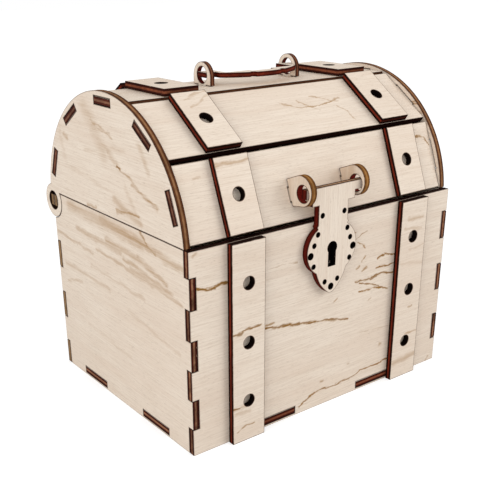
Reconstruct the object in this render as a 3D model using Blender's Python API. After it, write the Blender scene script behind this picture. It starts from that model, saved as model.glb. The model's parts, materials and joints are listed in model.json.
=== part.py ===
# Small wooden chest of laser-cut plywood: finger-jointed body, barrel lid, hasp and carrying handle.
# X runs along the front, Y from front to back and Z up, in metres.
# The origin is at the middle of the footprint, on the surface that the chest stands on.
import math

import bmesh
import bpy
from mathutils import Matrix, Vector

# Sheet and fits
ply = 0.003
fit_gap = 0.0003
turn_gap = 0.0004

# Body
body_width = 0.150
body_depth = 0.114
body_height = 0.090
foot_finger = 0.0124
head_finger = 0.0108
finger_count = 7
bottom_lift = 0.0012
bottom_tab = 0.021
front_tab_shares = (0.3, 0.7)
side_tab_shares = (0.26, 0.74)

# Straps
strap_width = 0.017
strap_inset = 0.0182
strap_hole_radius = 0.0028
strap_hole_shares = (0.212, 0.513, 0.805)

# Hinge: a ring on each lid end turns on a square-cut pin of two layers
hinge_drop = 0.0043
pin_height = 0.0052
ring_wall = 0.0035
rail_height = 0.0096

# Lid
lid_front_setback = 0.0028
lid_back_overhang = 0.0024
arch_rim = 0.0026
slat_names = ("lower_front", "upper_front", "top", "upper_back", "lower_back")
slat_dip = 0.0006
slat_joint = 0.0007
slat_tab = 0.0132

# What is glued on the lid stands this much to the right of its place on the body
lid_shift = 0.0021

# Each ear has a tab that goes through its slat
ear_tab = 0.006

# Carrying handle, of a thinner sheet; its axis is a little behind the middle of the top slat
handle_ply = 0.0022
handle_ear_width = 0.0128
handle_ear_rim = 0.0019
handle_ear_gap = 0.0468
handle_rise = 0.0045
handle_setback = 0.0023
handle_reach = 0.0149
handle_corner_reach = 0.0052
handle_grip = 0.0050
handle_step = 0.0026
handle_step_share = 0.27
handle_arm = 0.0030
handle_tongue = 0.0062
handle_tongue_past = 0.0013
handle_slip = 0.0012
scallop_radius = 0.0015
scallop_share = 0.36

# Hasp: its axis stands this much over the lid line, and the lock is a little left of the middle
hasp_rise = 0.0132
hasp_play = 0.0009
lock_shift = 0.0021
hasp_ear_width = 0.0132
hasp_ear_rim = 0.0013
hasp_ear_lift_share = 0.81
hasp_ear_heel = 0.0016
hasp_ear_gap = 0.0271
hasp_slip = 0.0011
hasp_tongue = 0.0040
hasp_arm_drop = 0.0056
hasp_half_width = 0.0142
hasp_length = 0.0460
keyhole_radius = 0.0026
keyhole_slot = 0.0040
rivet_hole_radius = 0.0010
stud_hole_radius = 0.0014

# The shield's outline and holes, as shares of its half width and of its length below the axis
neck_share = 0.59
waist_share = (0.59, 0.306)
spur_share = (0.636, 0.324)
shoulder_share = (0.60, 0.345)
cheek_share = (1.0, 0.571)
cusp_share = (0.61, 0.772)
flank_share = (0.435, 0.888)
chin_share = (0.14, 0.983)
rivet_shares = ((0.44, 0.221), (0.597, 0.392), (0.732, 0.491), (0.735, 0.694), (0.261, 0.874))
stud_share = (0.865, 0.584)
chin_hole_share = 0.936
keyhole_share = 0.550
keyhole_foot_share = 0.728

# Steps of the round outlines
arch_steps = 72
ring_steps = 48
hole_steps = 32
small_hole_steps = 16
ear_steps = 28
bow_steps = 14

# Places that follow from the sizes above
hinge_y = body_depth + fit_gap / 2
hinge_z = body_height - hinge_drop
pin_top = hinge_z + pin_height / 2
pin_bottom = hinge_z - pin_height / 2
hinge_hole_radius = math.hypot(ply + fit_gap / 2, pin_height / 2) + turn_gap
ring_radius = hinge_hole_radius + ring_wall
rail_bottom = pin_top - rail_height
arch_half_chord = (body_depth + lid_back_overhang - lid_front_setback) / 2
arch_radius = math.hypot(arch_half_chord, hinge_drop)
arch_y = lid_front_setback + arch_half_chord
slat_face = arch_radius - arch_rim
slat_back = slat_face - ply
slat_foot_angle = math.degrees(math.asin((hinge_drop - slat_dip) / slat_back))
slat_step_angle = (180 - 2 * slat_foot_angle) / len(slat_names)
slat_width = 2 * slat_back * math.tan(math.radians(slat_step_angle / 2)) - slat_joint
handle_hole_radius = math.hypot(handle_tongue, handle_ply) / 2 + turn_gap
hasp_hole_radius = math.hypot(hasp_tongue, ply) / 2 + hasp_play + fit_gap
hasp_y = -fit_gap - ply / 2
hasp_z = body_height + hasp_rise
lock_x = body_width / 2 - lock_shift
handle_x = body_width / 2 + lid_shift

tones = {
    "panel": (0.76, 0.62, 0.47),
    "slat": (0.80, 0.67, 0.52),
    "arch": (0.74, 0.59, 0.44),
    "strap": (0.82, 0.70, 0.55),
    "fitting": (0.78, 0.65, 0.50),
}


def clear_scene():
    for item in list(bpy.data.objects):
        bpy.data.objects.remove(item, do_unlink=True)


def wood(name, tone):
    material = bpy.data.materials.new(name)
    material.use_nodes = True
    shader = material.node_tree.nodes["Principled BSDF"]
    shader.inputs["Base Color"].default_value = (*tones[tone], 1)
    shader.inputs["Roughness"].default_value = 0.62
    shader.inputs["Metallic"].default_value = 0
    return material


def arc(centre, radius, start, end, steps):
    """Points on a round stretch from one angle to another, in degrees."""
    points = []
    for k in range(steps + 1):
        angle = math.radians(start + (end - start) * k / steps)
        points.append((centre[0] + radius * math.cos(angle), centre[1] + radius * math.sin(angle)))
    return points


def circle(centre, radius, steps=hole_steps):
    return arc(centre, radius, 0, 360, steps)[:-1]


def bow(first, middle, last):
    """The arc through three points, without its first point."""
    a, b, c = (Vector(point) for point in (first, middle, last))
    to_b, to_c = b - a, c - a
    twice_area = 2 * to_b.cross(to_c)
    offset = Vector((
        to_c.y * to_b.length_squared - to_b.y * to_c.length_squared,
        to_b.x * to_c.length_squared - to_c.x * to_b.length_squared,
    )) / twice_area
    centre = a + offset
    start = math.degrees(math.atan2(-offset.y, -offset.x))
    end = math.degrees(math.atan2(c.y - centre.y, c.x - centre.x))
    turn = 360 if twice_area > 0 else -360
    return arc(centre, offset.length, start, start + (end - start) % turn, bow_steps)[1:]


def rectangle(left, bottom, right, top):
    return [(left, bottom), (right, bottom), (right, top), (left, top)]


def mirrored(points):
    return [(-u, v) for u, v in reversed(points)]


def pivot(name, place, parent=None):
    empty = bpy.data.objects.new(name, None)
    bpy.context.collection.objects.link(empty)
    empty.parent = parent
    empty.location = place
    return empty


def placing(origin, across, up):
    """The matrix that lays a sheet's own X and Y along across and up."""
    x, y = Vector(across), Vector(up)
    return Matrix.Translation(origin) @ Matrix((x, y, x.cross(y))).transposed().to_4x4()


def plate(name, outline, holes, place, tone, parent, sheet=ply):
    """A piece cut from the sheet, drawn in its own XY plane."""
    shape = bmesh.new()
    for loop in (outline, *holes):
        corners = [shape.verts.new((u, v, 0)) for u, v in loop]
        for k, corner in enumerate(corners):
            shape.edges.new((corners[k - 1], corner))
    bmesh.ops.triangle_fill(shape, edges=shape.edges[:], use_beauty=True)
    raised = bmesh.ops.extrude_face_region(shape, geom=shape.faces[:])["geom"]
    raised_corners = [item for item in raised if isinstance(item, bmesh.types.BMVert)]
    bmesh.ops.translate(shape, verts=raised_corners, vec=(0, 0, sheet))
    bmesh.ops.recalc_face_normals(shape, faces=shape.faces[:])
    mesh = bpy.data.meshes.new(name)
    shape.to_mesh(mesh)
    shape.free()
    mesh.shade_smooth()
    mesh.set_sharp_from_angle(angle=math.radians(30))
    mesh.materials.append(wood(name, tone))
    piece = bpy.data.objects.new(name, mesh)
    bpy.context.collection.objects.link(piece)
    piece.parent = parent
    piece.matrix_local = place


def finger_edge(owned, top):
    """A panel's upright edge from the foot to its top: owned fingers reach out to 0."""
    middle = (body_height - foot_finger - head_finger) / (finger_count - 2)
    levels = [0, *(foot_finger + middle * k for k in range(finger_count - 1)), body_height]
    points = []
    for k in range(finger_count):
        clearance = fit_gap / 2 if k in owned else -fit_gap / 2
        low = levels[k] + clearance if k > 0 else 0
        high = levels[k + 1] - clearance if k < finger_count - 1 else body_height
        reach = 0 if k in owned else ply + fit_gap
        points += [(reach, low), (reach, high)]
    return [point for point in points if point[1] <= top]


def both_edges(left_edge):
    """The outline of a front or back piece from its left edge."""
    right_edge = [(body_width - u, v) for u, v in left_edge]
    return right_edge + list(reversed(left_edge))


def tab_spans(length, shares):
    return [(length * share - bottom_tab / 2, length * share + bottom_tab / 2) for share in shares]


def bottom_slots(length, shares):
    low = bottom_lift - fit_gap
    high = bottom_lift + ply + fit_gap
    return [rectangle(start - fit_gap, low, end + fit_gap, high) for start, end in tab_spans(length, shares)]


def bottom_edge(length, shares):
    """One edge of the bottom panel: its tabs reach out to 0."""
    inner = ply + fit_gap
    points = [(inner, inner)]
    for start, end in tab_spans(length, shares):
        points += [(start, inner), (start, 0), (end, 0), (end, inner)]
    return points


def make_bottom(chest):
    front = bottom_edge(body_width, front_tab_shares)
    right = [(body_width - v, u) for u, v in bottom_edge(body_depth, side_tab_shares)]
    back_and_left = [(body_width - u, body_depth - v) for u, v in front + right]
    place = placing((0, 0, bottom_lift), (1, 0, 0), (0, 1, 0))
    plate("bottom_panel", front + right + back_and_left, [], place, "panel", chest)


def make_front(chest):
    outline = both_edges(finger_edge((0, 2, 4, 6), body_height))
    slots = bottom_slots(body_width, front_tab_shares)
    plate("front_panel", outline, slots, placing((0, ply, 0), (1, 0, 0), (0, 0, 1)), "panel", chest)


def pin_edge():
    """The end of a hinge pin, from its shoulder up."""
    inner = ply + fit_gap
    return [(inner, pin_bottom), (fit_gap, pin_bottom), (fit_gap, pin_top)]


def make_back(chest):
    outline = both_edges(finger_edge((0, 2, 4), pin_bottom) + pin_edge())
    slots = bottom_slots(body_width, front_tab_shares)
    place = placing((0, body_depth, 0), (1, 0, 0), (0, 0, 1))
    plate("back_panel", outline, slots, place, "panel", chest)
    outline = both_edges([(ply + fit_gap, rail_bottom), *pin_edge()])
    place = placing((0, body_depth + fit_gap + ply, 0), (1, 0, 0), (0, 0, 1))
    plate("hinge_rail", outline, [], place, "strap", chest)


def make_side(name, x, chest):
    """A side panel, with a round seat at its upper back corner for the lid's ring."""
    seat = ring_radius + turn_gap
    start = -math.degrees(math.acos((body_depth - hinge_y) / seat))
    end = -180 - math.degrees(math.asin(hinge_drop / seat))
    ring_seat = arc((hinge_y, hinge_z), seat, start, end, ring_steps)
    below_seat = finger_edge((1, 3, 5, 6), ring_seat[0][1])
    back_edge = [(body_depth - u, v) for u, v in below_seat]
    front_edge = finger_edge((1, 3, 5), body_height)
    outline = back_edge + ring_seat + list(reversed(front_edge))
    slots = bottom_slots(body_depth, side_tab_shares)
    plate(name, outline, slots, placing((x, 0, 0), (0, 1, 0), (0, 0, 1)), "panel", chest)


def strap_starts():
    return {"left": strap_inset, "right": body_width - strap_inset - strap_width}


def make_body_straps(chest):
    sides = {"front": (-fit_gap, body_height), "back": (body_depth + fit_gap + ply, rail_bottom - fit_gap)}
    for side, (y, top) in sides.items():
        holes = [circle((strap_width / 2, top * share), strap_hole_radius) for share in strap_hole_shares]
        outline = rectangle(0, 0, strap_width, top)
        for hand, start in strap_starts().items():
            place = placing((start, y, 0), (1, 0, 0), (0, 0, 1))
            plate(f"{side}_strap_{hand}", outline, holes, place, "strap", chest)


def slat_angle(name):
    """A slat's turn from the top of the lid, in radians and towards the back."""
    steps = slat_names.index(name) - (len(slat_names) - 1) / 2
    return math.radians(steps * slat_step_angle)


def lid_axes(angle):
    """Over the lid towards the back, and out of it, at an angle from its top."""
    return Vector((0, math.cos(angle), -math.sin(angle))), Vector((0, math.sin(angle), math.cos(angle)))


def slat_place(name, x, distance):
    """The matrix that lays a sheet on a slat, the given distance from the arch's centre."""
    along, out = lid_axes(slat_angle(name))
    return placing(Vector((x, 0, 0)) + out * distance, (1, 0, 0), along)


def make_lid_end(name, x, lid):
    """A lid end: an arch down to the lid line, and behind it the ring that turns on the hinge pin."""
    spacing = hinge_y - arch_y
    lid_line = hinge_drop + fit_gap
    foot = 180 - math.degrees(math.asin(lid_line / arch_radius))
    ring_foot = -180 - math.degrees(math.asin(lid_line / ring_radius))
    meeting_y = (spacing ** 2 + arch_radius ** 2 - ring_radius ** 2) / (2 * spacing)
    meeting_z = math.sqrt(arch_radius ** 2 - meeting_y ** 2)
    arch_end = math.degrees(math.atan2(meeting_z, meeting_y))
    ring_start = math.degrees(math.atan2(meeting_z, meeting_y - spacing))
    arch = arc((0, 0), arch_radius, foot, arch_end, arch_steps)
    ring = arc((spacing, 0), ring_radius, ring_start, ring_foot, ring_steps)
    holes = [circle((spacing, 0), hinge_hole_radius, ring_steps)]
    for slat in slat_names:
        along, out = lid_axes(slat_angle(slat))
        middle = out * (slat_face - ply / 2)
        half_length = along * (slat_tab / 2 + fit_gap)
        half_sheet = out * (ply / 2 + fit_gap)
        corners = [middle + half_length * u + half_sheet * v for u, v in rectangle(-1, -1, 1, 1)]
        holes.append([(corner.y, corner.z) for corner in corners])
    plate(name, arch + ring[1:], holes, placing((x, 0, 0), (0, 1, 0), (0, 0, 1)), "arch", lid)


def ear_starts(ear):
    """The left face of each ear of a pair."""
    half_gap = ear["gap"] / 2
    return {"left": ear["x"] - half_gap - ear["sheet"], "right": ear["x"] + half_gap}


def ear_round(ear):
    """The centre of an ear's round front, so far from its hole that the rim has its least width."""
    along, out = ear["hole"]
    offset = ear["width"] / 2 - ear["radius"] - ear["rim"]
    lean = math.asin(ear["lift_share"])
    return along + offset * math.sin(lean), out - offset * math.cos(lean)


def ear_slots(ear):
    """The slots in a slat for the tabs of a pair of ears."""
    middle = ear_round(ear)[0]
    half_tab = ear_tab / 2 + fit_gap
    slots = []
    for start in ear_starts(ear).values():
        end = start + ear["sheet"]
        slots.append(rectangle(start - fit_gap, middle - half_tab, end + fit_gap, middle + half_tab))
    return slots


def make_slats(lid, slots):
    half_width = slat_width / 2
    half_tab = slat_tab / 2
    inner = ply + fit_gap
    edge = [(inner, -half_width), (inner, -half_tab), (0, -half_tab)]
    edge += [(u, -v) for u, v in reversed(edge)]
    for name in slat_names:
        place = slat_place(name, 0, slat_back)
        plate(f"{name}_slat", both_edges(edge), slots.get(name, []), place, "slat", lid)


def make_lid_straps(lid):
    outline = rectangle(0, -slat_width / 2, strap_width, slat_width / 2)
    hole = circle((strap_width / 2, 0), strap_hole_radius)
    for name in slat_names:
        for hand, start in strap_starts().items():
            place = slat_place(name, start + lid_shift, slat_face + fit_gap)
            plate(f"{name}_strap_{hand}", outline, [hole], place, "strap", lid)


def make_ears(kind, ear, lid):
    """A pair of D-shaped ears on a slat, around a hole given along the slat and out of it."""
    half_width = ear["width"] / 2
    half_tab = ear_tab / 2
    foot = slat_face + fit_gap
    middle, round_out = ear_round(ear)
    low = middle - half_width + ear["heel"]
    left = [(low, foot), (middle - half_tab, foot), (middle - half_tab, foot - ply)]
    right = [(middle + half_tab, foot - ply), (middle + half_tab, foot), (middle + half_width, foot)]
    outline = left + right + arc((middle, round_out), half_width, 0, 180, ear_steps)
    over, up = lid_axes(slat_angle(ear["slat"]))
    for hand, start in ear_starts(ear).items():
        place = placing((start, 0, 0), over, up)
        hole = circle(ear["hole"], ear["radius"])
        plate(f"{kind}_ear_{hand}", outline, [hole], place, "fitting", lid, ear["sheet"])


def grip_edge(u):
    """Where the handle's bowed front edge lies, at a place along it."""
    return (handle_reach - handle_corner_reach) * (2 * u / handle_ear_gap) ** 2 - handle_reach


def grip_run(start, end):
    places = [start + (end - start) * k / bow_steps for k in range(bow_steps + 1)]
    return [(u, grip_edge(u)) for u in places]


def scallop(place):
    """A small round bite in the handle's front edge."""
    slope = 2 * (grip_edge(place) - grip_edge(0)) / place
    lean = math.degrees(math.atan(slope))
    return arc((place, grip_edge(place)), scallop_radius, 180 + lean, lean, bow_steps)


def make_handle(handle):
    """The bail, seen from above: its axis is X and it reaches to the front."""
    half_gap = handle_ear_gap / 2
    outer = half_gap - turn_gap - handle_slip
    inner = outer - handle_arm
    end = half_gap + handle_ply + handle_tongue_past
    arm_back = math.sqrt((handle_rise - fit_gap) ** 2 - (handle_ply / 2) ** 2)
    half_tongue = handle_tongue / 2
    bite = half_gap * scallop_share
    middle_run = grip_run(scallop_radius - bite, bite - scallop_radius)
    front = grip_run(-outer, -bite - scallop_radius)[:-1] + scallop(-bite) + middle_run[1:-1]
    front += scallop(bite) + grip_run(bite + scallop_radius, outer)[1:]
    grip_back = handle_grip - handle_reach
    step_half = half_gap * handle_step_share
    side = [(outer, -half_tongue), (end, -half_tongue), (end, half_tongue), (outer, half_tongue)]
    side += [(outer, arm_back), (inner, arm_back), (inner, grip_back + handle_step)]
    side += [(step_half, grip_back + handle_step), (step_half, grip_back)]
    place = placing((0, 0, -handle_ply / 2), (1, 0, 0), (0, 1, 0))
    plate("handle_bail", front + side + mirrored(side), [], place, "fitting", handle, handle_ply)


def on_shield(share, side=1):
    return (side * share[0] * hasp_half_width, -share[1] * hasp_length)


def shield_holes():
    half_slot = keyhole_slot / 2
    key_y = -keyhole_share * hasp_length
    foot_y = -keyhole_foot_share * hasp_length
    opening = math.degrees(math.asin(half_slot / keyhole_radius))
    keyhole = arc((0, key_y), keyhole_radius, opening - 90, 270 - opening, ear_steps)
    keyhole += [(-half_slot, foot_y), (half_slot, foot_y)]
    holes = [keyhole, circle((0, -chin_hole_share * hasp_length), stud_hole_radius, small_hole_steps)]
    for side in (-1, 1):
        holes.append(circle(on_shield(stud_share, side), stud_hole_radius, small_hole_steps))
        for share in rivet_shares:
            holes.append(circle(on_shield(share, side), rivet_hole_radius, small_hole_steps))
    return holes


def shield_side(tongue):
    """The shield's right half from its tongue down, without the chin."""
    arm = hasp_ear_gap / 2 - turn_gap - hasp_slip
    half_tongue = hasp_tongue / 2
    side = [(tongue, half_tongue), (tongue, -half_tongue), (arm, -half_tongue), (arm, -hasp_arm_drop)]
    side += [(neck_share * hasp_half_width, -hasp_arm_drop), on_shield(waist_share), on_shield(spur_share)]
    side.append(on_shield(shoulder_share))
    side += bow(on_shield(shoulder_share), on_shield(cheek_share), on_shield(cusp_share))
    side += bow(on_shield(cusp_share), on_shield(flank_share), on_shield(chin_share))
    return side


def make_hasp(hasp):
    """The hasp's plate: its axis is X, and the shield hangs from tongues that end flush with the ears."""
    ear_end = hasp_ear_gap / 2 + ply
    chin = bow(on_shield(chin_share), (0, -hasp_length), on_shield(chin_share, -1))[:-1]
    outline = shield_side(ear_end + hasp_slip) + chin + mirrored(shield_side(ear_end - hasp_slip))
    place = placing((0, ply / 2, 0), (1, 0, 0), (0, 0, 1))
    plate("hasp_plate", outline, shield_holes(), place, "fitting", hasp)


def handle_ears():
    return {
        "slat": "top",
        "x": handle_x,
        "hole": (handle_setback, slat_face + handle_rise),
        "radius": handle_hole_radius,
        "width": handle_ear_width,
        "rim": handle_ear_rim,
        "lift_share": 0,
        "heel": 0,
        "gap": handle_ear_gap,
        "sheet": handle_ply,
    }


def hasp_ears():
    along, out = lid_axes(slat_angle("lower_front"))
    place = Vector((0, hasp_y + hasp_play - arch_y, hasp_z - hinge_z))
    return {
        "slat": "lower_front",
        "x": lock_x,
        "hole": (place.dot(along), place.dot(out)),
        "radius": hasp_hole_radius,
        "width": hasp_ear_width,
        "rim": hasp_ear_rim,
        "lift_share": hasp_ear_lift_share,
        "heel": hasp_ear_heel,
        "gap": hasp_ear_gap,
        "sheet": ply,
    }


def footprint_middle():
    """Halfway between the hasp ears' front and the back of the hinge rings."""
    along, out = lid_axes(slat_angle("lower_front"))
    middle, round_out = ear_round(hasp_ears())
    ear_front = arch_y + (along * middle + out * round_out).y - hasp_ear_width / 2
    return (ear_front + hinge_y + ring_radius) / 2


def main():
    clear_scene()
    chest = pivot("chest", (-body_width / 2, -footprint_middle(), 0))
    make_bottom(chest)
    make_front(chest)
    make_back(chest)
    make_side("side_panel_left", 0, chest)
    make_side("side_panel_right", body_width - ply, chest)
    make_body_straps(chest)

    lid_pivot = pivot("lid_pivot", (0, hinge_y, hinge_z), chest)
    lid = pivot("lid", (0, arch_y - hinge_y, 0), lid_pivot)
    make_lid_end("lid_end_left", 0, lid)
    make_lid_end("lid_end_right", body_width - ply, lid)
    make_lid_straps(lid)
    make_ears("handle", handle_ears(), lid)
    make_ears("hasp", hasp_ears(), lid)
    make_slats(lid, {"top": ear_slots(handle_ears()), "lower_front": ear_slots(hasp_ears())})

    handle_place = (handle_x + handle_slip, handle_setback, slat_face + handle_rise)
    make_handle(pivot("handle_pivot", handle_place, lid))
    make_hasp(pivot("hasp_pivot", (lock_x - hasp_slip, hasp_y - arch_y, hasp_z - hinge_z), lid))


main()
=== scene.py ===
# Small wooden chest of laser-cut plywood on a white floor, seen from the front left
import json
import math
from collections import Counter
from functools import reduce

import bpy
from mathutils import Matrix, Vector

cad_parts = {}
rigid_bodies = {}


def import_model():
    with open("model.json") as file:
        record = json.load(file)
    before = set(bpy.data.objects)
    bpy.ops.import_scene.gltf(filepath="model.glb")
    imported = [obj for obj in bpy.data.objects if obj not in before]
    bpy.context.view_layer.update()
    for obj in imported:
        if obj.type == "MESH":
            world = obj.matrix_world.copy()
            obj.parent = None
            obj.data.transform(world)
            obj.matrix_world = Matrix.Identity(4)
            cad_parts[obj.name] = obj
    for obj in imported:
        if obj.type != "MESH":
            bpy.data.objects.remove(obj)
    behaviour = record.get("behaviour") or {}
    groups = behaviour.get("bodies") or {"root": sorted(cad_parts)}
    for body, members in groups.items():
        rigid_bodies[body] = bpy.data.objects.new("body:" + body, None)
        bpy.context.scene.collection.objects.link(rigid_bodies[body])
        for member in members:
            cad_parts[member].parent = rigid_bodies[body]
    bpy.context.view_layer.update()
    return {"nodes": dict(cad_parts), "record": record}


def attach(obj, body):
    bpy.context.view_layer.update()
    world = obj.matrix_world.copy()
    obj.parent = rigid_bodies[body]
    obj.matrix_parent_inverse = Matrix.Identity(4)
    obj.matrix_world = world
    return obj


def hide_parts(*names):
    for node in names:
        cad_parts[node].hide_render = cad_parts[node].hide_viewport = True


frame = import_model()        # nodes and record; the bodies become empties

print("frame loaded:", len(frame["nodes"]), "nodes")


class Wire:
    # a node's output that takes part in plain arithmetic
    def __init__(self, tree, socket=None):
        self.tree = tree
        self.socket = socket

    def node(self, kind, settings=None, sockets=None, output=0):
        # a new node with its settings, the values or links of its sockets, and one of its outputs
        made = self.tree.nodes.new(kind)
        for name, value in (settings or {}).items():
            setattr(made, name, value)
        for name, value in (sockets or {}).items():
            if isinstance(value, Wire):
                self.tree.links.new(value.socket, made.inputs[name])
            else:
                made.inputs[name].default_value = value
        return Wire(self.tree, made.outputs[output] if made.outputs else None)

    def math(self, operation, first, second=0.0):
        return self.node("ShaderNodeMath", {"operation": operation}, {0: first, 1: second})

    def __add__(self, other):
        return self.math("ADD", self, other)

    def __radd__(self, other):
        return self.math("ADD", other, self)

    def __sub__(self, other):
        return self.math("SUBTRACT", self, other)

    def __rsub__(self, other):
        return self.math("SUBTRACT", other, self)

    def __mul__(self, other):
        return self.math("MULTIPLY", self, other)

    def __rmul__(self, other):
        return self.math("MULTIPLY", other, self)

    def __truediv__(self, other):
        return self.math("DIVIDE", self, other)

    def __abs__(self):
        return self.math("ABSOLUTE", self)

    def most(self, other):
        return self.math("MAXIMUM", self, other)

    def ramp(self, low, high):
        # 0 below low, 1 above high, eased between; turned round where low is the larger
        sockets = {0: self, 1: low, 2: high, 3: 0.0, 4: 1.0}
        if low > high:
            sockets = {0: self, 1: high, 2: low, 3: 1.0, 4: 0.0}
        return self.node("ShaderNodeMapRange", {"interpolation_type": "SMOOTHSTEP"}, sockets)

    def tint(self, start, end):
        # a colour between start and end, by this value; 6, 7 and 2 are the node's colour sockets
        settings = {"data_type": "RGBA", "clamp_factor": True}
        return self.node("ShaderNodeMix", settings, {0: self, 6: start, 7: end}, 2)

    def vector(self, operation, sockets, output=0):
        settings = {"operation": operation}
        return self.node("ShaderNodeVectorMath", settings, {0: self, **sockets}, output)

    def stretched(self, scales, shift):
        return self.vector("MULTIPLY_ADD", {1: scales, 2: shift})

    def noise(self, detail=2.0, rough=0.5, distort=0.0, output=0):
        sockets = {"Vector": self, "Scale": 1.0, "Detail": detail, "Roughness": rough}
        sockets["Distortion"] = distort
        return self.node("ShaderNodeTexNoise", {}, sockets, output)


def srgb(red, green, blue):
    values = [c / 255 for c in (red, green, blue)]
    return (*[c / 12.92 if c <= 0.04045 else ((c + 0.055) / 1.055) ** 2.4 for c in values], 1.0)


# the colours of the sheet and of what the beam burnt, with char also used as painted shade in holes
# and the keyhole, the same on every piece
birch = {
    "pale": srgb(237, 223, 207),
    "fibre": srgb(204, 183, 162),
    "blush": srgb(222, 202, 183),
    "pore": srgb(150, 122, 98),
    "smoke": srgb(150, 108, 72),
    "charAndShade": srgb(20, 8, 5),
    "figure": srgb(164, 122, 68),
    "heart": srgb(120, 84, 40),
    "tan": srgb(196, 166, 134),
    "scorch": srgb(34, 12, 8),
    "hairline": srgb(92, 64, 47),
    "chip": srgb(206, 176, 146),
}

# cut edges: outer and middle ply across the grain's end, the same along its length, the walls of
# holes, and how much soot lies over them. Their tones are partly painted light and shade: near
# black on long edges in gaps and on the walls of holes, lighter on the arches that face up to the
# light, dark red on the straps' and hasp's edges that face away
# the near-black length tones are char with painted shade of the gaps between panels and at the lid
# line
fingerEdge = {
    "end": (srgb(78, 28, 19), srgb(158, 112, 84)),
    "length": (srgb(20, 7, 5), srgb(36, 14, 9)),
    "bore": srgb(22, 9, 6),
    "soot": 0.55,
}
# the near-black length tones are char with painted shade of the gaps between the slats
slatEdge = {
    "end": (srgb(88, 40, 29), srgb(142, 98, 76)),
    "length": (srgb(20, 7, 5), srgb(36, 14, 9)),
    "bore": srgb(22, 9, 6),
    "soot": 0.45,
}
# dark red tones: char, partly painted shade of strap edges that face away from the light
strapEdge = {
    "end": (srgb(24, 8, 5), srgb(118, 42, 25)),
    "length": (srgb(22, 8, 5), srgb(74, 28, 18)),
    "bore": srgb(18, 8, 6),
    "soot": 0.35,
}
# the front straps' long edges near black: char with painted shade of the gap at the lid line
gapShadedStrapEdge = {**strapEdge, "length": (srgb(18, 7, 5), srgb(30, 11, 7))}
topEdge = {
    "end": (srgb(56, 20, 13), srgb(136, 76, 52)),
    "length": (srgb(60, 22, 14), srgb(140, 80, 54)),
    "bore": srgb(18, 8, 6),
    "soot": 0.45,
}
backEdge = {**fingerEdge, "end": (srgb(128, 96, 66), srgb(168, 138, 102)), "soot": 0.25}
crownEdge = {**slatEdge, "length": (srgb(92, 56, 36), srgb(124, 88, 58)), "soot": 0.30}
baseEdge = {**fingerEdge, "length": (srgb(78, 28, 18), srgb(140, 80, 56)), "soot": 0.30}
# lighter tones: char, partly painted light on the arches' edges that face up to the light
archEdge = {
    "end": (srgb(98, 58, 34), srgb(154, 110, 74)),
    "length": (srgb(98, 58, 34), srgb(154, 110, 74)),
    "bore": srgb(44, 24, 14),
    "soot": 0.30,
}
# dark red length tone: char, partly painted shade on the hasp's side edges that face away from the
# light
haspEdge = {
    "end": (srgb(70, 34, 20), srgb(182, 146, 112)),
    "length": (srgb(84, 20, 12), srgb(100, 26, 15)),
    # near-black bore: char with painted shade inside the hasp's holes
    "bore": srgb(8, 5, 4),
    "soot": 0.25,
}
handleEdge = {
    "end": (srgb(72, 22, 13), srgb(110, 40, 24)),
    "length": (srgb(82, 24, 14), srgb(118, 44, 26)),
    "bore": srgb(60, 18, 11),
    "soot": 0.45,
}
ringEdge = {
    "end": (srgb(82, 42, 29), srgb(126, 82, 58)),
    "length": (srgb(82, 42, 29), srgb(126, 82, 58)),
    "bore": srgb(84, 24, 18),
    "soot": 0.40,
}
earEdge = {
    "end": (srgb(132, 86, 42), srgb(166, 118, 66)),
    "length": (srgb(132, 86, 42), srgb(166, 118, 66)),
    "bore": srgb(112, 30, 23),
    "soot": 0.32,
}

# for each kind of piece: which way the grain runs, what the cut edge is like, how dark the line
# round its face is, and where it differs how dark its holes' rims are, char with painted shade, and
# how tan its face
kinds = {
    "side_panel": {"grain": (0, 1, 0), "edge": fingerEdge, "rim": 0.5},
    "bottom_panel": {"grain": (1, 0, 0), "edge": baseEdge, "rim": 0.5},
    "back_panel": {"grain": (1, 0, 0), "edge": backEdge, "rim": 0.5},
    "panel": {"grain": (1, 0, 0), "edge": fingerEdge, "rim": 0.5},
    "top_slat": {"grain": (1, 0, 0), "edge": crownEdge, "rim": 0.5},
    "slat": {"grain": (1, 0, 0), "edge": slatEdge, "rim": 0.5},
    "lid_end": {"grain": (0, 1, 0), "edge": archEdge, "rim": 0.7},
    "front_strap": {"grain": (1, 0, 0), "edge": gapShadedStrapEdge, "rim": 1.0},
    "top_strap": {"grain": (1, 0, 0), "edge": topEdge, "rim": 1.0},
    "strap": {"grain": (1, 0, 0), "edge": strapEdge, "rim": 1.0},
    "hinge_rail": {"grain": (1, 0, 0), "edge": backEdge, "rim": 0.5},
    # the hasp's hole rims darkened in full: char with painted shade of its holes
    "hasp_plate": {"grain": (0, 0, 1), "edge": haspEdge, "rim": 0.7, "holeCharAndShade": 1.0},
    "handle_bail": {"grain": (1, 0, 0), "edge": handleEdge, "rim": 0.7},
    "handle_ear": {"grain": (0, 0, 1), "edge": ringEdge, "rim": 0.8},
    "ear": {"grain": (0, 0, 1), "edge": earEdge, "rim": 1.0, "tan": 0.55},
}

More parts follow.
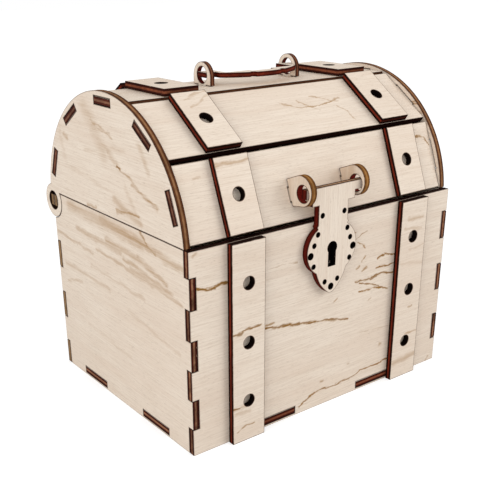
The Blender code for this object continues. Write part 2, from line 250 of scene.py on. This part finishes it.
# dark figure in the face: strokes through places given along x (y on the sides) and z, with a
# width, all in millimetres, and a strength
figures = {
    "lid_end_left": [
        (((18, 134), (12, 130), (3, 116)), 12.0, 0.22),
        (((12.6, 130.4), (9, 128.4)), 3.4, 0.50),
        (((9, 128.6), (-5, 124.6)), 2.0, 0.40),
        (((11.7, 126), (-3.5, 126.4)), 1.3, 0.40),
        (((12.8, 125.4), (2, 120), (-9, 113)), 5.0, 0.26),
        (((-7.6, 113.3), (-10.6, 112.7)), 2.2, 1.00),
        (((-9, 113), (-21, 109), (-27.4, 105.5)), 2.0, 0.50),
        (((-19, 108.6), (-30, 105), (-38, 101.8)), 3.2, 0.55),
        (((21.3, 91.5), (13.1, 91.8)), 2.6, 0.55),
        (((-5.3, 93.9), (-17.3, 96.1), (-23, 95.9)), 3.0, 0.60),
        (((-4, 98.6), (-24, 93)), 6.0, 0.34),
        (((-13.3, 105.8), (-20.3, 97.3)), 5.0, 0.18),
        (((-26, 125), (-32, 116)), 5.4, 0.26),
        (((39, 119.8), (36.3, 118.8)), 4.4, 0.42),
        (((44, 124), (40, 110)), 6.0, 0.14),
        (((34, 106), (8, 103)), 3.0, 0.16),
        (((20, 116), (-14, 121)), 3.0, 0.14),
    ],
    "side_panel_left": [
        (((40, 87), (4, 85.6)), 10.0, 0.40),
        (((10, 86.6), (-24, 84.4)), 9.0, 0.50),
        (((-14, 85.6), (-35, 83)), 5.4, 0.55),
        (((-28, 84), (-55, 81.8)), 6.0, 0.45),
        (((-23.4, 90), (-27.5, 85), (-35, 82)), 2.6, 0.62),
        (((34, 77), (-6, 76)), 4.4, 0.40),
        (((6, 78.4), (-24, 76.4)), 5.0, 0.45),
        (((-20, 77.8), (-42, 72)), 4.2, 0.45),
        (((-8, 74), (-46, 68.6)), 3.4, 0.38),
        (((54, 71), (20, 68.4)), 2.6, 0.36),
        (((16, 72), (-38, 68)), 3.0, 0.34),
        (((-13.4, 71.1), (-53, 66.4)), 3.4, 0.34),
        (((49, 56), (6, 55)), 3.4, 0.26),
        (((47.6, 47.2), (33, 51)), 2.6, 0.30),
        (((22, 62), (-24, 60)), 3.0, 0.22),
        (((-10, 50), (-50, 44)), 3.0, 0.16),
        (((30, 30), (-10, 27)), 3.0, 0.12),
    ],
    "front_panel": [
        (((-73.4, 88.2), (-71.8, 89.2)), 2.0, 0.50),
        (((-71.5, 74.2), (-66.2, 73.3), (-62.8, 72.8)), 2.0, 1.00),
        (((-64.4, 72.8), (-59.3, 74.3), (-56, 74)), 2.0, 1.00),
        (((-37, 48.1), (-23.3, 45.8), (-17.7, 45.2)), 2.2, 0.95),
        (((-20, 45.4), (-2.6, 42.7), (4.5, 41.3), (11.6, 39.4)), 1.9, 0.90),
        (((-36.6, 49.4), (-32.8, 49.5)), 2.0, 0.60),
        (((-36.5, 74.6), (-20.2, 74.1)), 0.8, 0.40),
        (((29, 64.8), (33.4, 66.4), (40.6, 64.4)), 1.6, 1.00),
        (((28.4, 60.8), (36.7, 59.4), (40.6, 60.4)), 1.6, 1.00),
        (((26, 57), (33, 56.6), (39.6, 55)), 2.0, 1.00),
        (((15.6, 56.4), (23.3, 57), (28.5, 56.2)), 1.7, 0.95),
        (((18.2, 55.6), (24.8, 54), (32.3, 49.8), (37.6, 48.4)), 1.4, 0.90),
        (((18.4, 51), (26.4, 50.8), (32.2, 49.6)), 1.3, 0.80),
        (((15.6, 63), (17.4, 64.2)), 2.2, 0.65),
        (((19.3, 65.6), (20.9, 67.6)), 1.6, 0.65),
        (((19.1, 60.8), (21.9, 62.6)), 2.4, 0.70),
        (((14, 76.8), (21.2, 79.4)), 1.0, 0.70),
        (((9, 81.8), (13.8, 80.6)), 1.3, 0.65),
        (((15.5, 75), (20.4, 72)), 1.3, 0.65),
        (((2, 49.8), (4.7, 51)), 1.1, 0.50),
        (((24.5, 45.4), (26.5, 45.6)), 0.9, 0.45),
        (((20, 30), (48, 27.8)), 1.0, 0.25),
        (((-17, 3.6), (-10.9, 6.5), (-4.5, 7.8), (5.8, 7.9), (14.4, 7.6)), 1.5, 0.85),
        (((14.4, 7.6), (22.1, 9.7), (28.1, 9.6), (40.4, 11.2)), 1.4, 0.85),
        (((-3.6, 11.9), (-3, 11.9)), 2.4, 0.65),
        (((34, 20.2), (34.6, 20.2)), 2.4, 0.45),
        (((13, 16.4), (14, 16.4)), 1.6, 0.40),
        (((68, -0.6), (71.4, 2.4)), 1.6, 0.50),
    ],
    "front_strap_left": [
        (((-57, 17.1), (-54, 16.4)), 2.6, 0.95),
        (((-56, 16.6), (-50.6, 16.8)), 2.4, 0.50),
        (((-55, 14.4), (-48, 13.6)), 3.0, 0.25),
        (((-55, 5.2), (-52.4, 6.7), (-50, 8.1), (-45.6, 7.4)), 1.4, 0.60),
        (((-56.6, 51), (-52.1, 51.7), (-50.2, 52.8), (-42.4, 52.2)), 1.8, 0.90),
    ],
    "front_strap_right": [
        (((45, 81.3), (54, 81)), 3.4, 0.40),
        (((42.6, 76.9), (54, 75.4)), 2.4, 0.24),
        (((41, 60.6), (58, 57.8)), 3.0, 0.20),
        (((41.5, 8.6), (57, 10)), 5.0, 0.36),
        (((48.7, 36.6), (51.2, 37.3)), 1.3, 0.50),
        (((47.6, 22.5), (57, 22.3)), 1.6, 0.45),
        (((46, 66), (56, 67)), 1.2, 0.25),
    ],
    "upper_front_slat": [
        (((-2.8, 132.3), (5.5, 130.2), (14, 130)), 1.3, 0.55),
        (((10, 129.8), (19.1, 130.1), (31.4, 131.8)), 1.2, 0.60),
        (((27, 129.2), (30.2, 126.8), (30.8, 123.4)), 1.4, 0.45),
        (((15.5, 133.5), (29.5, 130.5)), 1.1, 0.45),
        (((7.1, 132.2), (15.4, 128.5)), 1.3, 0.50),
    ],
    "lower_front_slat": [
        (((61, 114.3), (68, 112.6), (70.8, 109)), 1.3, 0.80),
        (((-63.2, 113.5), (-59.8, 114)), 1.6, 0.35),
    ],
    "lower_front_strap_left": [
        (((-54.4, 117.4), (-37, 118)), 3.0, 0.42),
    ],
    "upper_front_strap_left": [
        (((-50.5, 138.3), (-38, 140.6)), 1.6, 0.40),
        (((-49.5, 135.8), (-38.4, 138.8)), 1.6, 0.35),
    ],
}

# a black keyhole painted on the front panel behind the hasp's own, as painted shade seen through
# it: strokes by start, end and width
keyholeShade = {
    "front_panel": [((-3.1, 77.7), (-3.1, 77.7), 7.2), ((-3.1, 77.7), (-3.1, 71.8), 5.8)],
}

perMetre = 1000          # millimetres in a metre


def kindOf(name):
    # by the start of the name, or else by a part of it; the lid's front straps are plain straps
    starts = [kind for kind in kinds if name.startswith(kind)]
    parts = [kind for kind in kinds if kind in name and kind != "front_strap"]
    return kinds[(starts + parts)[0]]


def plateOf(node, grain):
    # a plate's own axes (along the grain, across it and out), its middle and its thickness
    largest = max(node.data.polygons, key=lambda face: face.area)
    out = largest.normal.copy()
    along = (grain - out * grain.dot(out)).normalized()
    axes = Matrix((along, out.cross(along), out))
    places = [axes @ corner.co for corner in node.data.vertices]
    low = Vector(min(place[k] for place in places) for k in range(3))
    high = Vector(max(place[k] for place in places) for k in range(3))
    return {"axes": axes, "middle": (low + high) / 2, "thickness": high.z - low.z}


def onPlate(plate, place):
    # a place given along x (y on the sides) and z, in the plate's own axes
    out = plate["axes"][2]
    fromSide = abs(out.x) > abs(out.y)
    free = Vector((1, 0, 0) if fromSide else (0, 1, 0))
    across, up = place
    offset = Vector((0, across, up) if fromSide else (across, 0, up)) / perMetre
    offset += free * (plate["middle"].z - offset.dot(out)) / free.dot(out)
    return plate["axes"] @ offset - plate["middle"]


# noise in the wood: its scale along the grain, across it and through the sheet, how many finer
# layers it has and how rough they are, how far it is swirled, and the output if not the first
patterns = {
    "fibres": {"scale": (60, 2100, 2100), "detail": 4, "rough": 0.65, "distort": 0.3},
    "bands": {"scale": (9, 150, 150), "detail": 3, "rough": 0.55, "distort": 0.5},
    "patches": {"scale": (18, 34, 34), "detail": 2},
    "pores": {"scale": (420, 5200, 5200), "detail": 2},
    "growth": {"scale": (13, 95, 95), "detail": 2, "distort": 0.9},
    "growthArea": {"scale": (15, 26, 26), "detail": 1},
    "sway": {"scale": (130, 240, 240), "detail": 3, "rough": 0.6, "output": 1},
    "fray": {"scale": (160, 900, 900), "detail": 3, "rough": 0.65},
    "streaks": {"scale": (22, 760, 760), "detail": 3, "rough": 0.6},
    "soot": {"scale": (520, 520, 700), "detail": 3, "rough": 0.6},
    "drift": {"scale": (70, 70, 70), "detail": 2},
}
patternSteps = (3.7, 5.3, 1.9)      # how far the patterns are moved on from piece to piece
noiseMiddle = 0.5


def pattern(place, name, seed):
    settings = dict(patterns[name])
    shift = tuple(seed * step for step in patternSteps)
    return place.stretched(settings.pop("scale"), shift).noise(**settings)


growthLook = {
    "pieces": ("back", "bottom", "side_panel_right", "lid_end_right"),     # hidden from the view
    "line": (0.016, 0.003),
    "lineStrength": 0.7,
    "shade": (0.55, 0.75),
    "shadeStrength": 0.4,
    "area": (0.50, 0.62),
}


def growthLines(place, seed):
    # loose growth lines and a shade beside them, in some areas of the face
    growth = pattern(place, "growth", seed)
    line = abs(growth - noiseMiddle).ramp(*growthLook["line"])
    shade = growth.ramp(*growthLook["shade"]) * growthLook["shadeStrength"]
    area = pattern(place, "growthArea", seed).ramp(*growthLook["area"])
    return (line * growthLook["lineStrength"]).most(shade) * area


strokeLook = {
    "sway": (0.0036, 0.0040, 0.0),     # metres along the grain and across it
    "fray": 0.0014,                    # metres in and out of its sides
    "drawnThrough": 1000.0,            # so long through the sheet that the depth doesn't count
}


def stroke(spot, plate, start, end, width, fray=0.0):
    # a soft round-ended line in the face from one place to another
    first, last = (onPlate(plate, place) for place in (start, end))
    run = last - first
    local = spot.node("ShaderNodeMapping", {"vector_type": "TEXTURE"}, {
        "Vector": spot,
        "Location": (first.x, first.y, 0.0),
        "Rotation": (0.0, 0.0, math.atan2(run.y, run.x)),
        "Scale": (1.0, 1.0, strokeLook["drawnThrough"]),
    })
    nearest = local.vector("MAXIMUM", {1: (0.0, 0.0, 0.0)})
    nearest = nearest.vector("MINIMUM", {1: (run.xy.length, 0.0, 0.0)})
    away = local.vector("DISTANCE", {1: nearest}, 1)
    return (away + fray).ramp(width / 2 / perMetre, 0.0)


def placedStrokes(name, plate, place, seed):
    # a piece's strokes, made wavy and frayed along the fibres
    reach = Vector(strokeLook["sway"])
    swayed = pattern(place, "sway", seed).stretched(reach, -reach / 2).vector("ADD", {1: place})
    fray = (pattern(place, "fray", seed) - noiseMiddle) * strokeLook["fray"]
    return reduce(Wire.most, [
        stroke(swayed, plate, start, end, width, fray) * strength
        for places, width, strength in figures[name]
        for start, end in zip(places, places[1:])
    ])


# how the stain takes in the face: its least, what fibres and streaks add, and its darker heart
stainLook = {
    "least": 0.5,
    "fibres": 0.3,
    "streaks": 0.6,
    "streaksShow": (0.35, 0.62),
    "heart": (0.45, 1.0),
    "heartStrength": 0.6,
}


def stained(color, name, plate, sheet, seed):
    # dark figure in the face: placed where the view shows it, loose where it doesn't
    if name in figures:
        stain = placedStrokes(name, plate, sheet["place"], seed)
    elif any(word in name for word in growthLook["pieces"]):
        stain = growthLines(sheet["place"], seed)
    else:
        return color
    streaks = pattern(sheet["place"], "streaks", seed).ramp(*stainLook["streaksShow"])
    grainy = stainLook["least"] + sheet["fibres"] * stainLook["fibres"]
    color = (stain * (grainy + streaks * stainLook["streaks"])).tint(color, birch["figure"])
    heart = stain.ramp(*stainLook["heart"]) * stainLook["heartStrength"]
    return heart.tint(color, birch["heart"])


# what the beam leaves on the face, and painted shade at the keyhole and in the holes: over which
# span of the stroke, rim, drift or soot each mark sets in, and how strongly
scorchAndShadeLook = {
    "keyhole": {"stroke": (0.02, 0.12)},
    "smoke": {"rim": (0.0, 0.9), "drift": (0.35, 0.65), "strength": 0.3},
    "hairline": {"rim": (0.0, 0.55), "soot": (0.35, 0.6), "least": 0.7},
    "bore": {"rim": (0.1, 0.6), "strength": 0.3},
}


def scorchedAndShaded(color, name, plate, kind, sheet):
    # painted shade for the keyhole, smoke and a hairline round the rim, and char with painted shade
    # round the holes
    if name in keyholeShade:
        span = scorchAndShadeLook["keyhole"]["stroke"]
        mark = reduce(Wire.most, [
            stroke(sheet["place"], plate, start, end, width).ramp(*span)
            for start, end, width in keyholeShade[name]
        ])
        color = mark.tint(color, birch["charAndShade"])
    rim = sheet["rim"]
    smoke, hairline, bore = (scorchAndShadeLook[key] for key in ("smoke", "hairline", "bore"))
    mark = rim.ramp(*smoke["rim"]) * sheet["drift"].ramp(*smoke["drift"]) * smoke["strength"]
    color = mark.tint(color, birch["smoke"])
    sooty = hairline["least"] + sheet["soot"].ramp(*hairline["soot"]) * (1 - hairline["least"])
    mark = rim.ramp(*hairline["rim"]) * sooty * kind["rim"]
    color = mark.tint(color, birch["hairline"])
    mark = rim.ramp(*bore["rim"]) * sheet["bore"] * kind.get("holeCharAndShade", bore["strength"])
    return mark.tint(color, birch["charAndShade"])


# patterns of the face: from where to where each sets in, its strength and its colour
faceLayers = {
    "fibres": {"shows": (0.35, 0.80), "strength": 0.62, "color": "fibre"},
    "bands": {"shows": (0.45, 0.75), "strength": 0.50, "color": "blush"},
    "patches": {"shows": (0.35, 0.70), "strength": 0.30, "color": "blush"},
    "pores": {"shows": (0.60, 0.72), "strength": 0.34, "color": "pore"},
}
tanLook = {"shows": (0.3, 0.7), "least": 0.4}


def faceColor(name, plate, kind, sheet, seed):
    color = birch["pale"]
    for key, layer in faceLayers.items():
        mask = sheet[key].ramp(*layer["shows"]) * layer["strength"]
        color = mask.tint(color, birch[layer["color"]])
    if "tan" in kind:
        tan = sheet["bands"].ramp(*tanLook["shows"]) * (1 - tanLook["least"]) + tanLook["least"]
        color = (tan * kind["tan"]).tint(color, birch["tan"])
    color = stained(color, name, plate, sheet, seed)
    return scorchedAndShaded(color, name, plate, kind, sheet)


# the cut edge; core, glue and arris are heights, as shares of the thickness from its middle
cutLook = {
    "turn": (0.85, 0.5),          # from the face to the wall, by how squarely the surface looks out
    "core": (0.20, 0.14),
    "glueAt": 0.17,
    "glue": (0.05, 0.01),
    "glueStrength": 0.45,
    "arris": (0.34, 0.47),
    "arrisStrength": 0.9,
    "atEnd": (0.80, 0.97),        # how squarely the wall looks along the grain
    "drift": (0.45, 0.65),
    "soot": (0.35, 0.7),
    "chips": (0.68, 0.72),
    "chipStrength": 0.7,
}


def cutColor(plate, look, sheet):
    # three plies with glue lines, charred over in patches, black and chipped at both arrises
    atEnd = abs(sheet["facing"].vector("DOT_PRODUCT", {1: plate["axes"][0]}, 1))
    ends, length = (sheet["core"].tint(*look[key]) for key in ("end", "length"))
    color = atEnd.ramp(*cutLook["atEnd"]).tint(length, ends)
    for key in ("drift", "soot"):
        color = (sheet[key].ramp(*cutLook[key]) * look["soot"]).tint(color, birch["scorch"])
    color = (sheet["glueLine"] * cutLook["glueStrength"]).tint(color, birch["scorch"])
    # the walls of holes take the bore tone: char with painted shade inside the holes
    color = sheet["bore"].tint(color, look["bore"])
    color = (sheet["arris"] * cutLook["arrisStrength"]).tint(color, birch["charAndShade"])
    chips = sheet["soot"].ramp(*cutLook["chips"]) * sheet["arris"]
    return (chips * cutLook["chipStrength"]).tint(color, birch["chip"])


def sheetMasks(wire, plate, seed):
    # what the wood's colour and relief are made of, in the plate's own axes
    place = wire.node("ShaderNodeMapping", {"vector_type": "POINT"}, {
        "Vector": wire.node("ShaderNodeTexCoord", output=3),
        "Location": -plate["middle"],
        "Rotation": plate["axes"].to_euler(),
    })
    facing = wire.node("ShaderNodeTexCoord", output=1)
    lean = facing.vector("DOT_PRODUCT", {1: plate["axes"][2]}, 1)
    height = abs(wire.node("ShaderNodeSeparateXYZ", {}, {0: place}, 2) / plate["thickness"])
    wavy = ("fibres", "bands", "patches", "pores", "soot", "drift")
    return {
        "place": place,
        "facing": facing,
        "edge": abs(lean).ramp(*cutLook["turn"]),
        "core": height.ramp(*cutLook["core"]),
        "glueLine": abs(height - cutLook["glueAt"]).ramp(*cutLook["glue"]),
        "arris": height.ramp(*cutLook["arris"]),
        "rim": 1.0 - wire.node("ShaderNodeAttribute", {"attribute_name": "inside"}, output=2),
        "bore": wire.node("ShaderNodeAttribute", {"attribute_name": "bore"}, output=2),
        **{name: pattern(place, name, seed) for name in wavy},
    }


finish = {
    "roughness": 0.56,
    "fibreRoughness": 0.14,
    "edgeRoughness": 0.1,
    "gloss": 0.30,
    "ior": 1.15,
    "bump": 0.22,
    "bumpHeight": 0.00018,
}
relief = {"fibres": 0.5, "bands": 0.25, "pores": 0.4, "soot": 0.6, "glueLine": 0.5}     # shares


def plywood(name, plate, kind, seed):
    material = bpy.data.materials.new(name)
    material.use_nodes = True
    tree = material.node_tree
    shader = tree.nodes["Principled BSDF"]
    wire = Wire(tree)
    sheet = sheetMasks(wire, plate, seed)
    edge = sheet["edge"]
    face = faceColor(name, plate, kind, sheet, seed)
    color = edge.tint(face, cutColor(plate, kind["edge"], sheet))

    raised = sheet["fibres"] * relief["fibres"] + sheet["bands"] * relief["bands"]
    sunk = sheet["pores"].ramp(*faceLayers["pores"]["shows"]) * relief["pores"]
    cutRelief = sheet["soot"] * relief["soot"] - sheet["glueLine"] * relief["glueLine"]
    bump = wire.node("ShaderNodeBump", {}, {
        "Height": raised - sunk + cutRelief * edge,
        "Strength": finish["bump"],
        "Distance": finish["bumpHeight"],
    })
    roughness = finish["roughness"] + sheet["fibres"] * finish["fibreRoughness"]
    roughness = roughness + edge * finish["edgeRoughness"]
    for socket, value in {"Base Color": color, "Roughness": roughness, "Normal": bump}.items():
        tree.links.new(value.socket, shader.inputs[socket])
    shader.inputs["Specular IOR Level"].default_value = finish["gloss"]
    shader.inputs["IOR"].default_value = finish["ior"]
    return material


making = {
    "mergeBelow": 1e-6,      # metres between corners that are one
    "flatBelow": 0.4,        # degrees between triangles that are one stretch of wall
    "faceAbove": 0.99,       # how squarely the sheet's faces look out at least
    "wallBelow": 0.5,        # and its walls at most
    "rim": 0.00038,          # the scorched rim round each face
    "ease": 0.00010,         # how far the arrises are worn
    "easeSteps": 2,
    "roundBelow": 35,        # degrees: facets that meet flatter than this are one round wall
    "smoothBelow": 60,       # degrees: and this is the most that is shaded as round
}


def edit(piece, part, chosen):
    # into edit mode with just the chosen edges or polygons selected
    bpy.context.tool_settings.mesh_select_mode = (False, part == "edges", part == "polygons")
    for name in ("vertices", "edges", "polygons"):
        items = getattr(piece.data, name)
        items.foreach_set("select", chosen if name == part else [False] * len(items))
    bpy.ops.object.mode_set(mode="EDIT")


def editAll(piece):
    edit(piece, "polygons", [True] * len(piece.data.polygons))


def leaveEdit():
    bpy.ops.object.mode_set(mode="OBJECT")


def mergedCopy(name, node, plate):
    # the node's loose triangles made one mesh, with plain four-sided walls
    bpy.ops.object.select_all(action="DESELECT")
    piece = bpy.data.objects.new(f"{name}_wood", node.data.copy())
    bpy.context.collection.objects.link(piece)
    bpy.context.view_layer.objects.active = piece
    piece.select_set(True)
    editAll(piece)
    bpy.ops.mesh.remove_doubles(threshold=making["mergeBelow"])
    leaveEdit()
    out = plate["axes"][2]
    walls = [abs(face.normal.dot(out)) < making["wallBelow"] for face in piece.data.polygons]
    edit(piece, "polygons", walls)
    flat = math.radians(making["flatBelow"])
    bpy.ops.mesh.tris_convert_to_quads(face_threshold=flat, shape_threshold=math.pi)
    leaveEdit()
    return piece


def clearFaces(piece, plate, side):
    # one side's face inset by the rim and taken out
    out = plate["axes"][2] * side
    faces = [face.normal.dot(out) > making["faceAbove"] for face in piece.data.polygons]
    edit(piece, "polygons", faces)
    bpy.ops.mesh.inset(thickness=making["rim"], use_boundary=True, use_even_offset=True)
    bpy.ops.mesh.delete(type="FACE")
    leaveEdit()


def noteHoles(piece, plate):
    # with both faces out, each wall stands alone: the outer one is linked to the farthest face
    faces = piece.data.polygons
    far = max(faces, key=lambda face: face.center.dot(plate["axes"][0])).index
    edit(piece, "polygons", [k == far for k in range(len(faces))])
    bpy.ops.mesh.select_linked()
    leaveEdit()
    outer = {corner for face in piece.data.polygons if face.select for corner in face.vertices}
    inHoles = [0.0 if k in outer else 1.0 for k in range(len(piece.data.vertices))]
    piece.data.attributes.new("bore", "FLOAT", "POINT").data.foreach_set("value", inHoles)


def mouthEdges(piece, plate, side):
    # the open edges on one side of a plate whose faces are out
    uses = Counter(key for face in piece.data.polygons for key in face.edge_keys)
    away = plate["axes"][2] * side
    corners = piece.data.vertices
    middle = plate["middle"].z * side
    return [uses[edge.key] == 1 and corners[edge.vertices[0]].co.dot(away) > middle
            for edge in piece.data.edges]


def fillFaces(piece, plate, side):
    # one side's face put back inside its rim, whose inner edge is noted
    mouth = mouthEdges(piece, plate, side)
    inside = piece.data.attributes["inside"].data
    for edge, chosen in zip(piece.data.edges, mouth):
        if chosen:
            for corner in edge.vertices:
                inside[corner].value = 1.0
    edit(piece, "edges", mouth)
    bpy.ops.mesh.fill(use_beauty=True)
    leaveEdit()


def drawRims(piece, plate):
    # a rim round both faces; "inside" runs from 0 at the arris to 1 within it, "bore" is 1 in holes
    for side in (-1, 1):
        clearFaces(piece, plate, side)
    noteHoles(piece, plate)
    piece.data.attributes.new("inside", "FLOAT", "POINT")
    for side in (-1, 1):
        fillFaces(piece, plate, side)
    editAll(piece)
    bpy.ops.mesh.normals_make_consistent(inside=False)
    leaveEdit()


def easeArrises(piece):
    bpy.ops.object.modifier_add(type="BEVEL")
    ease = piece.modifiers[-1]
    ease.width = making["ease"]
    ease.segments = making["easeSteps"]
    ease.limit_method = "ANGLE"
    ease.angle_limit = math.radians(making["roundBelow"])
    bpy.ops.object.modifier_apply(modifier=ease.name)
    bpy.ops.object.shade_smooth_by_angle(angle=math.radians(making["smoothBelow"]))
    bpy.ops.object.modifier_add(type="WEIGHTED_NORMAL")
    weighted = piece.modifiers[-1]
    weighted.keep_sharp = True
    bpy.ops.object.modifier_apply(modifier=weighted.name)


record = frame["record"]
bodyOf = {name: body for body, names in record["behaviour"]["bodies"].items() for name in names}


def dress(name, node, seed):
    kind = kindOf(name)
    plate = plateOf(node, Vector(kind["grain"]))
    piece = mergedCopy(name, node, plate)
    drawRims(piece, plate)
    easeArrises(piece)
    piece.data.materials.clear()
    piece.data.materials.append(plywood(name, plate, kind, seed))
    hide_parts(name)
    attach(piece, bodyOf[name])


for seed, (name, node) in enumerate(sorted(frame["nodes"].items()), 1):
    dress(name, node, seed)
print("plates dressed:", len(bodyOf))


floorLook = {"size": 6.0, "tone": 0.62, "glow": 0.58}


def makeFloor():
    # matte under the light, and white to the camera
    bpy.ops.object.select_all(action="DESELECT")
    bpy.ops.mesh.primitive_plane_add(size=floorLook["size"], location=(0, 0, 0))
    floor = bpy.context.object
    floor.name = "floor"
    material = bpy.data.materials.new("white_floor")
    material.use_nodes = True
    tree = material.node_tree
    tree.nodes.clear()
    wire = Wire(tree)
    tone = floorLook["tone"]
    matte = wire.node("ShaderNodeBsdfDiffuse", {}, {"Color": (tone, tone, tone, 1)})
    glowing = {"Color": (1, 1, 1, 1), "Strength": floorLook["glow"]}
    glow = wire.node("ShaderNodeEmission", {}, glowing)
    dark = wire.node("ShaderNodeEmission", {}, {"Strength": 0.0})
    seen = wire.node("ShaderNodeLightPath", output=0)
    lit = wire.node("ShaderNodeMixShader", {}, {0: seen, 1: dark, 2: glow})
    both = wire.node("ShaderNodeAddShader", {}, {0: matte, 1: lit})
    wire.node("ShaderNodeOutputMaterial", {}, {"Surface": both})
    floor.data.materials.append(material)


skyLight = 0.76          # on the object; the camera sees white


def makeWorld():
    world = bpy.data.worlds.new("studio")
    bpy.context.scene.world = world
    world.use_nodes = True
    tree = world.node_tree
    tree.nodes.clear()
    wire = Wire(tree)
    seen = wire.node("ShaderNodeLightPath", output=0)
    strength = seen * (1.0 - skyLight) + skyLight
    sky = wire.node("ShaderNodeBackground", {}, {"Color": (1, 1, 1, 1), "Strength": strength})
    wire.node("ShaderNodeOutputWorld", {}, {"Surface": sky})


lampAim = Vector((0, 0, 0.07))
lamps = {
    "key": {"place": Vector((0.80, -1.08, 0.66)), "size": 0.8, "watts": 6.0},
    "fill": {"place": Vector((-1.10, -0.40, 0.45)), "size": 1.0, "watts": 5.6},
}


def softBox(name, settings):
    lamp = bpy.data.lights.new(name, "AREA")
    lamp.shape = "SQUARE"
    lamp.size = settings["size"]
    lamp.energy = settings["watts"]
    holder = bpy.data.objects.new(name, lamp)
    holder.location = settings["place"]
    holder.rotation_euler = (lampAim - settings["place"]).to_track_quat("-Z", "Y").to_euler()
    bpy.context.collection.objects.link(holder)


# the photo's camera, in metres, degrees and, for its sensor and lens, millimetres
view = {
    "place": Vector((-0.238652, -0.303346, 0.192246)),
    "azimuth": -36.975,
    "elevation": 23.403,
    "roll": -0.463,
    "sensor": 36,
    "lens": 59.540,
    "shift": (0.033628, 0.128166),
    "nearest": 0.01,
}


def makeCamera():
    azimuth, elevation, roll = (math.radians(view[key]) for key in ("azimuth", "elevation", "roll"))
    ahead = Vector((
        -math.sin(azimuth) * math.cos(elevation),
        math.cos(azimuth) * math.cos(elevation),
        -math.sin(elevation),
    ))
    right = ahead.cross(Vector((0, 0, 1))).normalized()
    up = right.cross(ahead)
    side = right * math.cos(roll) + up * math.sin(roll)
    top = up * math.cos(roll) - right * math.sin(roll)
    turned = Matrix((side, top, -ahead)).transposed().to_4x4()
    data = bpy.data.cameras.new("photoCamera")
    data.sensor_width = view["sensor"]
    data.lens = view["lens"]
    data.shift_x, data.shift_y = view["shift"]
    data.clip_start = view["nearest"]
    camera = bpy.data.objects.new("photoCamera", data)
    camera.matrix_world = Matrix.Translation(view["place"]) @ turned
    bpy.context.collection.objects.link(camera)
    bpy.context.scene.camera = camera


makeFloor()
makeWorld()
for name, settings in lamps.items():
    softBox(name, settings)
makeCamera()
bpy.context.scene.view_settings.view_transform = "Standard"
print("studio ready")
